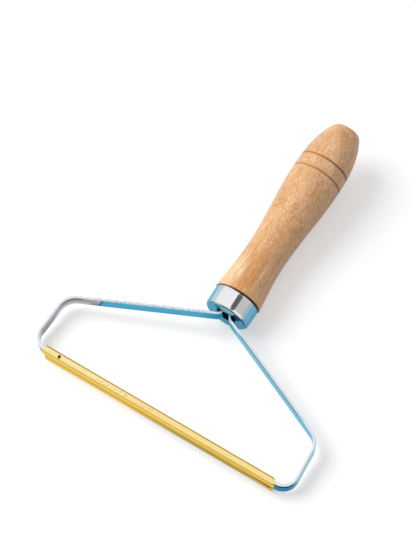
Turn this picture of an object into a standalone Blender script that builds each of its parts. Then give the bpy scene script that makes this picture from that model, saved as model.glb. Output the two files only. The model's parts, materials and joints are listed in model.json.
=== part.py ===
# Pet hair lint remover: a folded brass head on a loop of flat steel strip, held in a turned wood handle.
# The tool lies on a table, resting on the head's lower fold and on the ferrule's rounded front rim.
# Units are metres, +Z is up, and the handle points along +Y.

import math

import bmesh
import bpy
from mathutils import Vector

# Flat steel strip
STRIP_WIDTH = 0.0076
STRIP_THICKNESS = 0.0013
STRIP_EDGE_ROUNDING = 0.00025

# Loop of the strip: its lower corners, its upper corners and the throat in front of the ferrule
LOWER_BEND_RADIUS = 0.0072
UPPER_BEND_RADIUS = 0.009
THROAT_BEND_RADIUS = 0.004
SIDE_HEIGHT = 0.02755
SIDE_LEAN = math.radians(2.9)
LOOP_DEPTH = 0.059
THROAT_SETBACK = 0.00105
TANG_SPACING = 0.004
TANG_LENGTH = 0.034

# Brass head folded round the strip
HEAD_LENGTH = 0.1262
BEND_COVER = 0.0006
HEAD_SHEET = 0.001
HEAD_FOLD_RADIUS = 0.0013
SEAM_HEIGHT = 0.0005
SEAM_GAP = 0.0005
NOSE_LENGTH = 0.0009
UPPER_LIP_ROUNDING = 0.002
LOWER_LIP_SETBACK = 0.0013
LOWER_FOLD_ROUNDING = 0.0028
LOWER_FOLD_ROUNDING_HEIGHT = 0.0024
STAKE_HOLE_DIAMETER = 0.0015
STAKE_HOLE_INSET = 0.0088
STAKE_HOLE_OFFSET = -0.0003

# Ferrule, a cap of sheet metal
FERRULE_LENGTH = 0.0099
FERRULE_FRONT_RADIUS = 0.0114
FERRULE_BACK_RADIUS = 0.0116
FERRULE_SHEET = 0.0006
FERRULE_EDGE_RADIUS = 0.0015
SLOT_SIDE_GAP = 0.00225
SLOT_END_GAP = 0.0004

# Turned handle, with its stations measured from the shoulder at the ferrule
HANDLE_LENGTH = 0.1019
SHOULDER_RADIUS = 0.01202
SHOULDER_ROUNDING = 0.0005
SHOULDER_TAPER = 0.106
NECK_DISTANCE = 0.0258
NECK_RADIUS = 0.01015
BELLY_DISTANCE = 0.0728
BELLY_RADIUS = 0.01288
GROOVE_DISTANCE = 0.0724
GROOVE_SPACING = 0.0071
GROOVE_WIDTH = 0.0009
GROOVE_DEPTH = 0.00045
END_RIM_RADIUS = 0.007
END_ROUNDING = 0.001
SPIGOT_SETBACK = 0.0018
DRILL_POINT = math.radians(31)

# Glue in the bore round the tangs
GLUE_WALL = 0.0013
GLUE_FRONT_SETBACK = 0.004
GLUE_END_COVER = 0.002

# Gap between pieces that touch or are glued on the real tool
FIT_GAP = 0.0003

# Values worked out from the driving dimensions
BEND_START = HEAD_LENGTH / 2 - BEND_COVER + FIT_GAP / 2
LOWER_CORNER_X = BEND_START + LOWER_BEND_RADIUS * math.tan((math.pi / 2 + SIDE_LEAN) / 2)
UPPER_CORNER_X = LOWER_CORNER_X - SIDE_HEIGHT * math.tan(SIDE_LEAN)
TANG_X = TANG_SPACING / 2
TANG_END = LOOP_DEPTH + TANG_LENGTH

HEAD_HALF_THICKNESS = STRIP_THICKNESS / 2 + FIT_GAP + HEAD_SHEET
HEAD_HALF_HEIGHT = STRIP_WIDTH / 2 + FIT_GAP + HEAD_SHEET

FERRULE_BACK = LOOP_DEPTH + FERRULE_LENGTH
SLOT_WIDTH = TANG_SPACING + STRIP_THICKNESS + 2 * SLOT_SIDE_GAP
SLOT_HEIGHT = STRIP_WIDTH + 2 * SLOT_END_GAP

SHOULDER = FERRULE_BACK + FIT_GAP
SPIGOT_FRONT = LOOP_DEPTH + FERRULE_SHEET + SPIGOT_SETBACK
SPIGOT_RADIUS = FERRULE_FRONT_RADIUS - FERRULE_SHEET - FIT_GAP
NECK = SHOULDER + NECK_DISTANCE
BELLY = SHOULDER + BELLY_DISTANCE
HANDLE_END = SHOULDER + HANDLE_LENGTH
GROOVES = (SHOULDER + GROOVE_DISTANCE, SHOULDER + GROOVE_DISTANCE + GROOVE_SPACING)
NOSE_START = sum(GROOVES) / 2
NOSE_SEMI_AXIS = (HANDLE_END - NOSE_START) / math.sqrt(1 - (END_RIM_RADIUS / BELLY_RADIUS) ** 2)
END_TURN = math.atan((BELLY_RADIUS / NOSE_SEMI_AXIS) ** 2 * (HANDLE_END - NOSE_START) / END_RIM_RADIUS)
END_FACE_RADIUS = END_RIM_RADIUS - END_ROUNDING * (1 - math.sin(END_TURN)) / math.cos(END_TURN)

BORE_RADIUS = math.hypot(TANG_X + STRIP_THICKNESS / 2, STRIP_WIDTH / 2) + GLUE_WALL
GLUE_FRONT = SPIGOT_FRONT + GLUE_FRONT_SETBACK
GLUE_BACK = TANG_END + GLUE_END_COVER
BORE_END = GLUE_BACK + FIT_GAP

# Fineness of the round shapes
BEND_STEPS = 10
FOLD_STEPS = 6
LIP_STEPS = 4
PROFILE_STEPS = 10
RIM_STEPS = 3
TURNED_STEPS = 56
HOLE_STEPS = 16
ROUND_SHADING = math.radians(35)
MERGE = 0.00001


def clear_scene():
    for old in list(bpy.data.objects):
        bpy.data.objects.remove(old, do_unlink=True)


def new_collection(name):
    collection = bpy.data.collections.new(name)
    bpy.context.scene.collection.children.link(collection)
    return collection


def metal_or_wood(name, color, metallic, roughness):
    material = bpy.data.materials.new(name)
    material.use_nodes = True
    shader = material.node_tree.nodes["Principled BSDF"]
    shader.inputs["Base Color"].default_value = (*color, 1)
    shader.inputs["Metallic"].default_value = metallic
    shader.inputs["Roughness"].default_value = roughness
    return material


def new_object(name, mesh, collection, parent, material=None):
    obj = bpy.data.objects.new(name, mesh)
    collection.objects.link(obj)
    obj.parent = parent
    if material:
        mesh.materials.append(material)
        mesh.shade_smooth()
        mesh.set_sharp_from_angle(angle=ROUND_SHADING)
    return obj


def hide_cutter(cutter):
    cutter.hide_render = True
    cutter.display_type = "WIRE"


def cut(obj, cutter):
    boolean = obj.modifiers.new("Cut by " + cutter.name, "BOOLEAN")
    boolean.operation = "DIFFERENCE"
    boolean.object = cutter
    boolean.solver = "EXACT"


def box_cutter(name, size, center, collection, parent):
    mesh = bpy.data.meshes.new(name)
    shape = bmesh.new()
    bmesh.ops.create_cube(shape, size=1)
    bmesh.ops.scale(shape, vec=Vector(size), verts=shape.verts)
    shape.to_mesh(mesh)
    shape.free()
    cutter = new_object(name, mesh, collection, parent)
    cutter.location = center
    hide_cutter(cutter)
    return cutter


def arc(center, radius, start, end, steps):
    """Points of an arc, with both of its ends, from angle start to angle end."""
    points = []
    for step in range(steps + 1):
        angle = start + (end - start) * step / steps
        points.append((center[0] + radius * math.cos(angle), center[1] + radius * math.sin(angle)))
    return points


def rounded_path(corners, radii, steps):
    """A path of straight runs through the corners, each inner corner rounded to its radius."""
    path = [corners[0]]
    for before, corner, after, radius in zip(corners, corners[1:], corners[2:], radii):
        vertex = Vector(corner)
        to_before = (Vector(before) - vertex).normalized()
        to_after = (Vector(after) - vertex).normalized()
        half_angle = to_before.angle(to_after) / 2
        center = vertex + (to_before + to_after).normalized() * radius / math.sin(half_angle)
        first = vertex + to_before * radius / math.tan(half_angle) - center
        start = math.atan2(first.y, first.x)
        turn = math.pi - 2 * half_angle
        if to_before.cross(to_after) > 0:
            turn = -turn
        path.extend(arc(center, radius, start, start + turn, steps))
    path.append(corners[-1])
    return path


def turned_mesh(name, profile):
    """An edge profile of (radius, height) pairs in the XZ plane, for a Screw modifier about Z."""
    mesh = bpy.data.meshes.new(name)
    edges = [(index, index + 1) for index in range(len(profile) - 1)]
    mesh.from_pydata([(radius, 0, height) for radius, height in profile], edges, [])
    return mesh


def turn(obj):
    """Turns the object's profile about its Z axis, and points that axis along the tool's +Y."""
    screw = obj.modifiers.new("Turned", "SCREW")
    screw.angle = math.tau
    screw.steps = TURNED_STEPS
    screw.render_steps = TURNED_STEPS
    screw.use_merge_vertices = True
    screw.merge_threshold = MERGE
    screw.use_smooth_shade = True
    obj.rotation_euler = (-math.pi / 2, 0, 0)


def handle_radius(station):
    """Radius of the grip at a station along the tool, without its grooves."""
    if station < NECK:
        fall = (station - SHOULDER) / (NECK - SHOULDER)
        taper = -SHOULDER_TAPER * (NECK - SHOULDER) * (fall**3 - 2 * fall**2 + fall)
        return NECK_RADIUS + (SHOULDER_RADIUS - NECK_RADIUS) * (2 * fall**3 - 3 * fall**2 + 1) + taper
    if station < BELLY:
        rise = (station - NECK) / (BELLY - NECK)
        return NECK_RADIUS + (BELLY_RADIUS - NECK_RADIUS) * rise**2 * (3 - 2 * rise)
    if station < NOSE_START:
        return BELLY_RADIUS
    return BELLY_RADIUS * math.sqrt(1 - ((station - NOSE_START) / NOSE_SEMI_AXIS) ** 2)


def handle_stations():
    """Stations of the grip's outline from the shoulder to the end's rim, kept clear of the grooves."""
    stations = [SHOULDER + SHOULDER_ROUNDING]
    stations += [SHOULDER + NECK_DISTANCE * step / PROFILE_STEPS for step in range(1, PROFILE_STEPS)]
    stations += [NECK + (BELLY - NECK) * step / PROFILE_STEPS for step in range(PROFILE_STEPS)]
    rim_start = HANDLE_END - END_ROUNDING * (1 - math.sin(END_TURN))
    nose_turn = math.asin((rim_start - NOSE_START) / NOSE_SEMI_AXIS)
    for step in range(1, PROFILE_STEPS + 1):
        stations.append(NOSE_START + NOSE_SEMI_AXIS * math.sin(nose_turn * step / PROFILE_STEPS))
    return [s for s in stations if all(abs(s - groove) > GROOVE_WIDTH for groove in GROOVES)]


def grip_outline():
    """The grip's (station, radius) pairs from the shoulder to the end face, grooves included."""
    outline = [(s, handle_radius(s)) for s in handle_stations()]
    for groove in GROOVES:
        for edge in (groove - GROOVE_WIDTH / 2, groove + GROOVE_WIDTH / 2):
            outline.append((edge, handle_radius(edge)))
        outline.append((groove, handle_radius(groove) - GROOVE_DEPTH))
    rim = arc((END_FACE_RADIUS, HANDLE_END - END_ROUNDING), END_ROUNDING, END_TURN, math.pi / 2, RIM_STEPS)
    outline += [(station, radius) for radius, station in rim[1:]]
    return sorted(outline)


def ferrule_outline():
    """The ferrule's (radius, station) pairs from its back edge over the rounded rim to the middle of its face."""
    edge_center = (FERRULE_FRONT_RADIUS - FERRULE_EDGE_RADIUS, LOOP_DEPTH + FERRULE_EDGE_RADIUS)
    outline = [(FERRULE_BACK_RADIUS, FERRULE_BACK)]
    outline += arc(edge_center, FERRULE_EDGE_RADIUS, 0, -math.pi / 2, FOLD_STEPS)
    outline.append((0, LOOP_DEPTH))
    return outline


def rest_angle():
    """Tilt about X at which the head's lower fold and the lowest point behind it lie on one plane."""
    behind = [(station, -radius) for station, radius in grip_outline()]
    behind += [(station, -radius) for radius, station in ferrule_outline()]

    def lowest(points, tilt):
        return min(y * math.sin(tilt) + z * math.cos(tilt) for y, z in points)

    low, high = 0, math.pi / 6
    for step in range(40):
        tilt = (low + high) / 2
        if lowest(behind, tilt) < lowest(head_section(), tilt):
            low = tilt
        else:
            high = tilt
    return tilt


def make_handle(collection, parent):
    drill_depth = BORE_RADIUS * math.tan(DRILL_POINT)
    profile = [(0, HANDLE_END)]
    profile += [(radius, station) for station, radius in reversed(grip_outline())]
    profile.append((SHOULDER_RADIUS - SHOULDER_ROUNDING, SHOULDER))
    profile.append((SPIGOT_RADIUS, SHOULDER))
    profile.append((SPIGOT_RADIUS, SPIGOT_FRONT))
    profile.append((BORE_RADIUS, SPIGOT_FRONT))
    profile.append((BORE_RADIUS, BORE_END))
    profile.append((0, BORE_END + drill_depth))
    wood = metal_or_wood("beech wood", (0.66, 0.42, 0.21), 0, 0.5)
    handle = new_object("handle", turned_mesh("handle", profile), collection, parent, wood)
    turn(handle)
    return handle


def make_ferrule(collection, cutters, parent):
    """A cup turned as an open surface and thickened inwards, with the slot for both tangs in its face."""
    chrome = metal_or_wood("chromed sheet", (0.78, 0.82, 0.86), 1, 0.12)
    ferrule = new_object("ferrule", turned_mesh("ferrule", ferrule_outline()), collection, parent, chrome)
    turn(ferrule)
    wall = ferrule.modifiers.new("Sheet", "SOLIDIFY")
    wall.thickness = FERRULE_SHEET
    wall.offset = -1
    wall.use_even_offset = True
    slot_center = (0, LOOP_DEPTH + FERRULE_SHEET / 2, 0)
    slot_size = (SLOT_WIDTH, 3 * FERRULE_SHEET, SLOT_HEIGHT)
    cut(ferrule, box_cutter("ferrule_slot_cutter", slot_size, slot_center, cutters, parent))
    return ferrule


def strip_path():
    """Middle line of the strip in the loop's plane, from one tang round the loop to the other."""
    right = [
        (TANG_X, TANG_END),
        (TANG_X, LOOP_DEPTH - THROAT_SETBACK),
        (UPPER_CORNER_X, SIDE_HEIGHT),
        (LOWER_CORNER_X, 0),
    ]
    left = [(-x, y) for x, y in reversed(right)]
    radii = [THROAT_BEND_RADIUS, UPPER_BEND_RADIUS, LOWER_BEND_RADIUS]
    return rounded_path(right + left, radii + radii[::-1], BEND_STEPS)


def make_frame_strip(collection, parent):
    mesh = bpy.data.meshes.new("frame_strip")
    shape = bmesh.new()
    lower = [shape.verts.new((x, y, -STRIP_WIDTH / 2)) for x, y in strip_path()]
    edges = [shape.edges.new(pair) for pair in zip(lower, lower[1:])]
    raised = bmesh.ops.extrude_edge_only(shape, edges=edges)["geom"]
    upper = [item for item in raised if isinstance(item, bmesh.types.BMVert)]
    bmesh.ops.translate(shape, vec=(0, 0, STRIP_WIDTH), verts=upper)
    bmesh.ops.recalc_face_normals(shape, faces=shape.faces)
    shape.to_mesh(mesh)
    shape.free()
    steel = metal_or_wood("plated steel", (0.52, 0.66, 0.74), 1, 0.2)
    strip = new_object("frame_strip", mesh, collection, parent, steel)
    thickness = strip.modifiers.new("Thickness", "SOLIDIFY")
    thickness.thickness = STRIP_THICKNESS
    thickness.offset = 0
    thickness.use_even_offset = True
    edges_rounding = strip.modifiers.new("Edges", "BEVEL")
    edges_rounding.width = STRIP_EDGE_ROUNDING
    edges_rounding.segments = 1
    edges_rounding.limit_method = "ANGLE"
    edges_rounding.angle_limit = math.radians(60)
    return strip


def head_section():
    """Outside of the folded sheet in the YZ plane, from the upper lip over both folds to the lower lip."""
    y = HEAD_HALF_THICKNESS
    z = HEAD_HALF_HEIGHT
    r = HEAD_FOLD_RADIUS
    flat = z - r
    quarter = math.pi / 2
    upper_lip = SEAM_HEIGHT + SEAM_GAP / 2
    section = [(-y, upper_lip + (flat - upper_lip) * step / LIP_STEPS) for step in range(LIP_STEPS)]
    section += arc((r - y, flat), r, 2 * quarter, quarter, FOLD_STEPS)
    section += arc((y - r, flat), r, quarter, 0, FOLD_STEPS)
    section += [(y, -z + LOWER_FOLD_ROUNDING_HEIGHT)]
    section += arc((y - r, -flat), r, 0, -quarter, FOLD_STEPS)
    section += arc((r - y, -flat), r, -quarter, -2 * quarter, FOLD_STEPS)
    section += [(-y, -z + LOWER_FOLD_ROUNDING_HEIGHT), (-y, SEAM_HEIGHT - SEAM_GAP / 2)]
    return section


def end_trim(y, z):
    """How far the sheet's ends are cut back at a point of its section.

    The upper fold ends in a blunt nose, the upper lip's corner and the whole lower fold are rounded off,
    and the lower lip stands a little further back."""
    behind = (max(0, y) / HEAD_HALF_THICKNESS) ** 2
    below = max(0, LOWER_FOLD_ROUNDING_HEIGHT - HEAD_HALF_HEIGHT - z) / LOWER_FOLD_ROUNDING_HEIGHT
    trim = NOSE_LENGTH * behind
    trim = max(trim, LOWER_FOLD_ROUNDING * (1 - math.sqrt(1 - min(1, below) ** 2)))
    on_lip = math.isclose(y, -HEAD_HALF_THICKNESS)
    if on_lip and z < SEAM_HEIGHT:
        trim = max(trim, LOWER_LIP_SETBACK)
    elif on_lip:
        lip_top = HEAD_HALF_HEIGHT - HEAD_FOLD_RADIUS
        trim += UPPER_LIP_ROUNDING * ((lip_top - z) / (lip_top - SEAM_HEIGHT)) ** 2
    return trim


def make_blade_head(collection, cutters, parent):
    mesh = bpy.data.meshes.new("blade_head")
    shape = bmesh.new()
    rows = []
    for y, z in head_section():
        half = HEAD_LENGTH / 2 - end_trim(y, z)
        rows.append([shape.verts.new((x, y, z)) for x in (-half, half)])
    for (left, right), (next_left, next_right) in zip(rows, rows[1:]):
        shape.faces.new((left, right, next_right, next_left))
    shape.to_mesh(mesh)
    shape.free()
    brass = metal_or_wood("brass sheet", (0.88, 0.62, 0.22), 1, 0.25)
    head = new_object("blade_head", mesh, collection, parent, brass)
    wall = head.modifiers.new("Sheet", "SOLIDIFY")
    wall.thickness = HEAD_SHEET
    wall.offset = -1
    wall.use_even_offset = True
    hole_mesh = bpy.data.meshes.new("stake_hole_cutter")
    hole = bmesh.new()
    radius = STAKE_HOLE_DIAMETER / 2
    depth = 3 * HEAD_SHEET
    bmesh.ops.create_cone(hole, cap_ends=True, segments=HOLE_STEPS, radius1=radius, radius2=radius, depth=depth)
    hole.to_mesh(hole_mesh)
    hole.free()
    cutter = new_object("stake_hole_cutter", hole_mesh, cutters, parent)
    place = (STAKE_HOLE_INSET - HEAD_LENGTH / 2, STAKE_HOLE_OFFSET, HEAD_HALF_HEIGHT - HEAD_SHEET / 2)
    cutter.location = place
    hide_cutter(cutter)
    cut(head, cutter)
    return head


def make_glue_plug(collection, cutters, parent):
    """A plug that fills the bore, with a slot round each tang."""
    mesh = bpy.data.meshes.new("glue_plug")
    shape = bmesh.new()
    radius = BORE_RADIUS - FIT_GAP
    depth = GLUE_BACK - GLUE_FRONT
    bmesh.ops.create_cone(shape, cap_ends=True, segments=TURNED_STEPS, radius1=radius, radius2=radius, depth=depth)
    shape.to_mesh(mesh)
    shape.free()
    glue = metal_or_wood("set glue", (0.72, 0.6, 0.38), 0, 0.45)
    plug = new_object("glue_plug", mesh, collection, parent, glue)
    plug.rotation_euler = (-math.pi / 2, 0, 0)
    plug.location = (0, (GLUE_FRONT + GLUE_BACK) / 2, 0)
    slot_front = LOOP_DEPTH
    slot_back = TANG_END + FIT_GAP
    slot_size = (STRIP_THICKNESS + 2 * FIT_GAP, slot_back - slot_front, STRIP_WIDTH + 2 * FIT_GAP)
    for side, x in (("left", -TANG_X), ("right", TANG_X)):
        center = (x, (slot_front + slot_back) / 2, 0)
        cut(plug, box_cutter(side + "_tang_cutter", slot_size, center, cutters, parent))
    return plug


def set_down(parent, pieces):
    """Tilts the tool to its rest pose, and moves it so that the origin is under its middle."""
    parent.rotation_euler = (rest_angle(), 0, 0)
    bpy.context.view_layer.update()
    graph = bpy.context.evaluated_depsgraph_get()
    corners = []
    for piece in pieces:
        solid = piece.evaluated_get(graph)
        corners += [solid.matrix_world @ vertex.co for vertex in solid.data.vertices]
    low = Vector(min(point[axis] for point in corners) for axis in range(3))
    high = Vector(max(point[axis] for point in corners) for axis in range(3))
    parent.location = -Vector(((low.x + high.x) / 2, (low.y + high.y) / 2, low.z))
    bpy.context.view_layer.update()


def build():
    clear_scene()
    parts = new_collection("pet_hair_lint_remover")
    cutters = new_collection("cutters")
    tool = bpy.data.objects.new("tool", None)
    parts.objects.link(tool)
    pieces = [
        make_handle(parts, tool),
        make_ferrule(parts, cutters, tool),
        make_frame_strip(parts, tool),
        make_blade_head(parts, cutters, tool),
        make_glue_plug(parts, cutters, tool),
    ]
    set_down(tool, pieces)


build()
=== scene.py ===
import json
import math

import bmesh
import bpy
from mathutils import Euler, Matrix, Vector


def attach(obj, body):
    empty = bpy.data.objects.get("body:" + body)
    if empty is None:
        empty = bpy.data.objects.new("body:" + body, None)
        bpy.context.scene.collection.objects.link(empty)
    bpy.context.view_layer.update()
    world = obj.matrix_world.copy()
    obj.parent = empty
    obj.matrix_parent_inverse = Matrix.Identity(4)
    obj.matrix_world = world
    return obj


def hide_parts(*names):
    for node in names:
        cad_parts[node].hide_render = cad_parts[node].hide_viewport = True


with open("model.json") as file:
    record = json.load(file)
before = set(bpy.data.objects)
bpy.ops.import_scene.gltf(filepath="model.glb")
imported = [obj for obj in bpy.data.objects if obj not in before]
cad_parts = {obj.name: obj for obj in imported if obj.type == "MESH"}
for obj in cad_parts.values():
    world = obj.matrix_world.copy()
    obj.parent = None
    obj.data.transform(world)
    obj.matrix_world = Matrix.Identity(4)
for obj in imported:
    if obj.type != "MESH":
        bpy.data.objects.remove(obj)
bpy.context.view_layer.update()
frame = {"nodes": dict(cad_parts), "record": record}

# Hand scraper for pet hair, modelled in the tool's own directions: +Y along the grip, the brass head's
# middle at the origin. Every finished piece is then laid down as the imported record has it.
tool = {
    "endFace": 0.1711,         # from the head's middle to the grip's end
    "loopDepth": 0.059,        # to the front of the cap
    "stripWidth": 0.0076,
    "stripThickness": 0.0013,
    "sheetGap": 0.0003,        # between pieces that touch
    "shy": 0.00001,            # keeps the finely rounded forms inside the solids
}

endMount = frame["record"]["mounts"][0]
tilt = math.atan2(endMount["axis"][2], endMount["axis"][1])
layDown = Matrix.Translation(endMount["pos_m"]) @ Matrix.Rotation(tilt, 4, "X")
layDown = layDown @ Matrix.Translation((0, -tool["endFace"], 0))


def clearSelection():
    if bpy.context.mode != "OBJECT":
        bpy.ops.object.mode_set(mode="OBJECT")
    bpy.ops.object.select_all(action="DESELECT")


def startPiece(name):
    # the primitive just added gets its name and is opened for editing, selected all over
    piece = bpy.context.object
    piece.name = name
    piece.data.name = name
    bpy.ops.object.mode_set(mode="EDIT")
    bpy.ops.mesh.select_all(action="SELECT")
    return piece


def pick(piece, kind, wanted):
    # selects the vertices or edges whose middle is wanted, in tool coordinates
    bpy.ops.mesh.select_mode(type=kind)
    bpy.ops.mesh.select_all(action="DESELECT")
    shape = bmesh.from_edit_mesh(piece.data)
    for item in (shape.verts if kind == "VERT" else shape.edges):
        corners = [item] if kind == "VERT" else item.verts
        middle = sum((corner.co for corner in corners), Vector()) / len(corners)
        if wanted(piece.matrix_world @ middle):
            item.select_set(True)
    shape.select_flush_mode()
    bmesh.update_edit_mesh(piece.data)


def useModifier(piece, kind, **settings):
    modifier = piece.modifiers.new(kind.title(), kind)
    for name, value in settings.items():
        setattr(modifier, name, value)
    bpy.ops.object.modifier_apply(modifier=modifier.name)


def outsideOut():
    bpy.ops.mesh.select_mode(type="VERT")
    bpy.ops.mesh.select_all(action="SELECT")
    bpy.ops.mesh.remove_doubles(threshold=0.000002)
    bpy.ops.mesh.normals_make_consistent(inside=False)
    bpy.ops.object.mode_set(mode="OBJECT")


def makeActive(piece):
    clearSelection()
    piece.select_set(True)
    bpy.context.view_layer.objects.active = piece


def cutOut(piece, cutter, size):
    makeActive(piece)
    useModifier(piece, "BOOLEAN", object=cutter, operation="DIFFERENCE", solver="EXACT")
    useModifier(piece, "BEVEL", width=size["cutBevel"], segments=2, limit_method="ANGLE",
                angle_limit=math.radians(size["cutAngle"]))
    bpy.data.objects.remove(cutter)


def finishPiece(piece, node, material, smoothAngle):
    makeActive(piece)
    piece.matrix_world = layDown @ piece.matrix_world
    bpy.ops.object.transform_apply(location=True, rotation=True, scale=True)
    bpy.ops.object.shade_smooth_by_angle(angle=math.radians(smoothAngle))
    useModifier(piece, "WEIGHTED_NORMAL", keep_sharp=True)  # broad faces stay even up to their edges
    piece.data.materials.clear()
    piece.data.materials.append(material)
    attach(piece, "root")
    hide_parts(node)
    print(piece.name, "is done with", len(piece.data.polygons), "faces")


def turnOnLathe(name, rings, segments):
    # a filled circle at the first ring, extruded and resized along the grip's axis to each next one
    radius, station = rings[0]
    clearSelection()
    bpy.ops.mesh.primitive_circle_add(vertices=segments, radius=radius, fill_type="NGON",
                                      location=(0, station, 0), rotation=(math.pi / 2, 0, 0))
    piece = startPiece(name)
    for nextRadius, nextStation in rings[1:]:
        bpy.ops.mesh.extrude_region_move(TRANSFORM_OT_translate={"value": (0, nextStation - station, 0)})
        grow = nextRadius / radius
        bpy.ops.transform.resize(value=(grow, 1, grow), center_override=(0, nextStation, 0))
        radius, station = nextRadius, nextStation
    return piece


def roundCorner(center, radius, startDegrees, endDegrees, steps):
    # (across, along) pairs of an arc, both ends included
    pairs = []
    for step in range(steps + 1):
        turn = math.radians(startDegrees + (endDegrees - startDegrees) * step / steps)
        pairs.append((center[0] + radius * math.cos(turn), center[1] + radius * math.sin(turn)))
    return pairs


# Node helpers for the finishes

def feed(tree, node, inputs):
    # each input takes a plain value or another node's output
    for name, value in inputs.items():
        if isinstance(value, bpy.types.NodeSocket):
            tree.links.new(value, node.inputs[name])
        else:
            node.inputs[name].default_value = value


def addNode(tree, kind, inputs, **settings):
    node = tree.nodes.new(kind)
    for name, value in settings.items():
        setattr(node, name, value)
    feed(tree, node, inputs)
    return node


def toolPlace(tree, scale=(1, 1, 1)):
    # object coordinates turned into the tool's own directions, then stretched
    inputs = {"Vector": addNode(tree, "ShaderNodeTexCoord", {}).outputs["Object"],
              "Location": layDown.translation, "Rotation": (tilt, 0, 0)}
    upright = addNode(tree, "ShaderNodeMapping", inputs, vector_type="TEXTURE")
    inputs = {"Vector": upright.outputs["Vector"], "Scale": scale}
    return addNode(tree, "ShaderNodeMapping", inputs).outputs["Vector"]


def calc(tree, operation, first, second=0.0, third=0.0, clamp=False):
    inputs = {0: first, 1: second, 2: third}
    return addNode(tree, "ShaderNodeMath", inputs, operation=operation, use_clamp=clamp).outputs["Value"]


def between(tree, value, low, high, smooth=True):
    # 0 below low, 1 above high; low may be the larger one
    turned = low > high
    inputs = {"Value": value, "From Min": min(low, high), "From Max": max(low, high),
              "To Min": 1.0 if turned else 0.0, "To Max": 0.0 if turned else 1.0}
    kind = "SMOOTHSTEP" if smooth else "LINEAR"
    return addNode(tree, "ShaderNodeMapRange", inputs, interpolation_type=kind).outputs["Result"]


def noise(tree, place, detail, roughness=0.5, distortion=0.0):
    inputs = {"Vector": place, "Scale": 1.0, "Detail": detail, "Roughness": roughness,
              "Distortion": distortion}
    return addNode(tree, "ShaderNodeTexNoise", inputs).outputs["Fac"]


def blendColor(tree, factor, first, second):
    first, second = [(*tone, 1) if isinstance(tone, tuple) else tone for tone in (first, second)]
    # the mix node's colours go in at 6 and 7 and come out at 2
    return addNode(tree, "ShaderNodeMix", {0: factor, 6: first, 7: second}, data_type="RGBA").outputs[2]


def colorRamp(tree, value, stops):
    node = addNode(tree, "ShaderNodeValToRGB", {"Fac": value})
    for index, (position, color) in enumerate(stops):
        stop = node.color_ramp.elements[index] if index < 2 else node.color_ramp.elements.new(position)
        stop.position = position
        stop.color = (*color, 1)
    return node.outputs["Color"]


def newFinish(name, metallic, look):
    # also gives the fields that its layers follow: the place in the tool's directions, and its noises
    material = bpy.data.materials.new(name)
    material.use_nodes = True
    tree = material.node_tree
    shader = tree.nodes["Principled BSDF"]
    feed(tree, shader, {"Metallic": metallic, "Roughness": look["roughness"]})
    split = addNode(tree, "ShaderNodeSeparateXYZ", {"Vector": toolPlace(tree)})
    fields = {axis.lower(): split.outputs[axis] for axis in "XYZ"}
    for field, (stretch, *settings) in look["noises"].items():
        fields[field] = noise(tree, toolPlace(tree, stretch), *settings)
    return material, tree, shader, fields


def distanceFrom(tree, first, second, middle=(0, 0)):
    # from the middle to the point that the two fields give, in their plane
    squares = [calc(tree, "POWER", calc(tree, "SUBTRACT", field, at), 2.0)
               for field, at in zip((first, second), middle)]
    return calc(tree, "SQRT", calc(tree, "ADD", *squares))


def overlap(tree, fields, limits):
    # how far all the limits hold at once: each names a field, with the value where it sets in and the
    # value where it is full, or names a field that is a share already
    share = None
    for limit in limits:
        held = fields[limit] if isinstance(limit, str) else between(tree, fields[limit[0]], *limit[1:])
        share = held if share is None else calc(tree, "MULTIPLY", share, held)
    return share


def paintLayers(tree, fields, look, color, layers):
    # each layer in that list of the look names its tone, how much of it goes on, and its limits
    for tone, most, *limits in look[layers]:
        share = overlap(tree, fields, limits)
        if most < 1:
            share = calc(tree, "MULTIPLY", share, most)
        color = blendColor(tree, share, color, look[tone])
    return color


def closeFinish(tree, shader, fields, look, color):
    # the roughness wanders with one field, and the relief rises with one
    if "wander" in look:
        name, swing, offset = look["wander"]
        roughness = calc(tree, "MULTIPLY_ADD", fields[name], swing, look["roughness"] + offset)
        feed(tree, shader, {"Roughness": roughness})
    name, distance, strength = look["relief"]
    inputs = {"Distance": distance, "Strength": strength, "Height": fields[name]}
    relief = addNode(tree, "ShaderNodeBump", inputs).outputs["Normal"]
    feed(tree, shader, {"Base Color": color, "Normal": relief})


# Wood handle: turned, with a waist by the cap, a full belly, two burned grooves and a blunt nose

handle = {
    "segments": 128,
    "shoulder": 0.0692,
    "length": 0.1019,
    "shoulderRadius": 0.01202,
    "shoulderRounding": 0.0005,
    "shoulderTaper": 0.106,
    "lipSteps": 7,
    "gripFrom": 0.00065,       # behind the shoulder, where its rounded lip has ended
    "waist": 0.0258,           # behind the shoulder
    "waistRadius": 0.01015,
    "belly": 0.0728,
    "bellyRadius": 0.01286,
    "grooves": (0.1416, 0.1487),
    "grooveWidth": 0.0009,
    "grooveDepth": 0.00042,
    # a soft V with eased lips, in shares of the groove's width and depth
    "grooveForm": ((-0.62, 0), (-0.5, 0.06), (-0.3, 0.55), (-0.1, 0.95), (0, 1),
                   (0.1, 0.95), (0.3, 0.55), (0.5, 0.06), (0.62, 0)),
    "grooveClearance": 0.75,   # no plain ring comes nearer, in widths of the groove
    "endRim": 0.00695,         # where the nose's curve would meet the end face
    "endRounding": 0.001,
    "endSteps": 6,
    "endInset": 0.0022,
    "spigotFront": 0.0614,
    "spigotRadius": 0.0105,
    "spigotChamfer": 0.0004,
    "boreRadius": 0.00593,
    "boreChamfer": 0.0003,
    "boreEnd": 0.0953,
    "ringStep": 0.0009,
}

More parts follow.
